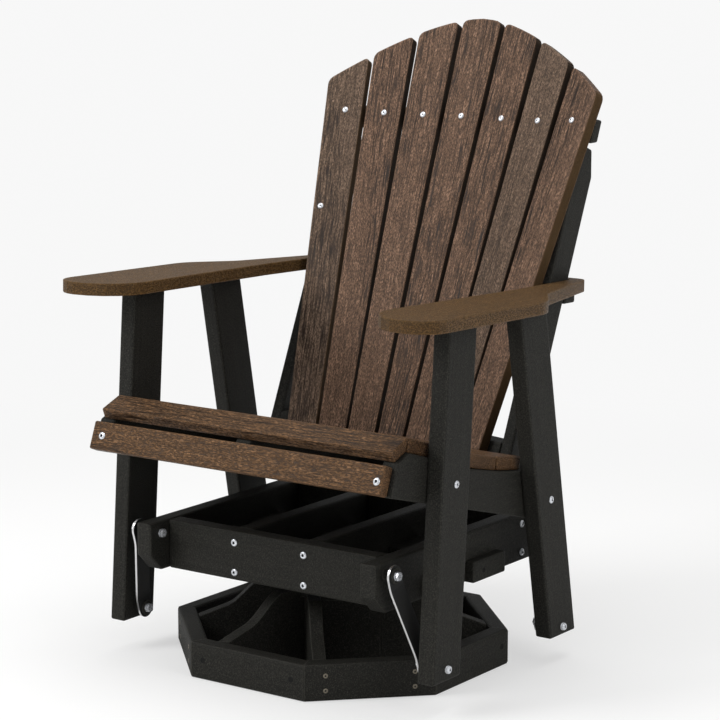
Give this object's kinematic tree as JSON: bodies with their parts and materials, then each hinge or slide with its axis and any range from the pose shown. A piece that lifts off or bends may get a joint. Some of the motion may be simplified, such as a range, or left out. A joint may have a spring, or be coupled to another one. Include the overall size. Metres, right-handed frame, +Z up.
{
  "type": "swivel glider chair",
  "caption": "Slatted fan-back garden armchair hung on steel glide links over a platform that swivels on an octagonal base.",
  "frame": {"origin": "on the floor on the swivel axis, in the middle of the base post's underside", "axes": "+Z up along the swivel axis, -Y the way the chair faces at rest, +X towards the sitter's left"},
  "size_m": [0.796, 0.7922, 1.1144],
  "materials": {
    "black_lumber": "satin, fine speckle",
    "brown_lumber": "satin, embossed wood grain",
    "zinc_plate": "zinc plated",
    "black_strap": "black, bright at the cut edges"
  },
  "bodies": {
    "root": {"base_rim_right": "black_lumber", "base_rim_rear_right": "black_lumber", "base_rim_rear": "black_lumber", "base_rim_rear_left": "black_lumber", "base_rim_left": "black_lumber", "base_rim_front_left": "black_lumber", "base_rim_front": "black_lumber", "base_rim_front_right": "black_lumber", "base_rib_1": "black_lumber", "base_rib_2": "black_lumber", "base_rib_3": "black_lumber", "base_rib_4": "black_lumber", "base_rib_5": "black_lumber", "base_rib_6": "black_lumber", "base_post": "black_lumber", "base_hub_plate": "black_lumber", "swivel_lower_plate": "zinc_plate", "swivel_ball_race": "zinc_plate"},
    "platform": {"swivel_upper_plate": "zinc_plate", "swivel_plank_front": "black_lumber", "swivel_plank_rear": "black_lumber", "platform_rail_right": "black_lumber", "platform_rail_left": "black_lumber", "platform_rail_front": "black_lumber", "platform_rail_rear": "black_lumber", "platform_inner_rail_right": "black_lumber", "platform_inner_rail_left": "black_lumber"},
    "link_front_right": {"glide_link_front_right": "black_strap"},
    "link_front_left": {"glide_link_front_left": "black_strap"},
    "link_rear_right": {"glide_link_rear_right": "black_strap"},
    "link_rear_left": {"glide_link_rear_left": "black_strap"},
    "chair": {"leg_front_right": "black_lumber", "leg_front_left": "black_lumber", "leg_rear_right": "black_lumber", "leg_rear_left": "black_lumber", "arm_right": "brown_lumber", "arm_left": "brown_lumber", "seat_rail_right": "black_lumber", "seat_rail_left": "black_lumber", "seat_slat_1": "brown_lumber", "seat_slat_2": "brown_lumber", "seat_slat_3": "brown_lumber", "seat_slat_rear": "brown_lumber", "seat_nose_slat": "brown_lumber", "seat_apron": "brown_lumber", "rear_cross_rail": "black_lumber", "seat_centre_rail": "black_lumber", "back_slat_1": "brown_lumber", "back_slat_2": "brown_lumber", "back_slat_3": "brown_lumber", "back_slat_4": "brown_lumber", "back_slat_5": "brown_lumber", "back_slat_6": "brown_lumber", "back_slat_7": "brown_lumber", "back_brace": "black_lumber", "lower_back_rail": "black_lumber", "back_upright_right": "black_lumber", "back_upright_left": "black_lumber", "arm_cross_rail": "black_lumber"}
  },
  "joints": [
    {"name": "swivel", "type": "hinge", "parent": "root", "child": "platform", "pos_m": [0, 0, 0.15], "axis": [0, 0, 1], "continuous": true},
    {"name": "glide", "type": "hinge", "parent": "platform", "child": "link_front_right", "pos_m": [0.2755, -0.228, 0.235], "axis": [1, 0, 0], "range_deg": [-15, 15]},
    {"name": "link_front_left_hinge", "type": "hinge", "parent": "platform", "child": "link_front_left", "pos_m": [-0.2755, -0.228, 0.235], "axis": [1, 0, 0], "range_deg": [-15, 15]},
    {"name": "link_rear_right_hinge", "type": "hinge", "parent": "platform", "child": "link_rear_right", "pos_m": [0.2755, 0.228, 0.235], "axis": [1, 0, 0], "range_deg": [-15, 15]},
    {"name": "link_rear_left_hinge", "type": "hinge", "parent": "platform", "child": "link_rear_left", "pos_m": [-0.2755, 0.228, 0.235], "axis": [1, 0, 0], "range_deg": [-15, 15]},
    {"name": "chair_hinge", "type": "hinge", "parent": "link_front_right", "child": "chair", "pos_m": [0.304, -0.181, 0.0757], "axis": [1, 0, 0], "range_deg": [-18.5, 18.5]}
  ],
  "couplings": [
    {"joint": "link_front_left_hinge", "follows": "glide", "ratio": 1},
    {"joint": "link_rear_right_hinge", "follows": "glide", "ratio": 0.9039},
    {"joint": "link_rear_left_hinge", "follows": "glide", "ratio": 0.9039},
    {"joint": "chair_hinge", "follows": "glide", "ratio": -1.2181}
  ]
}
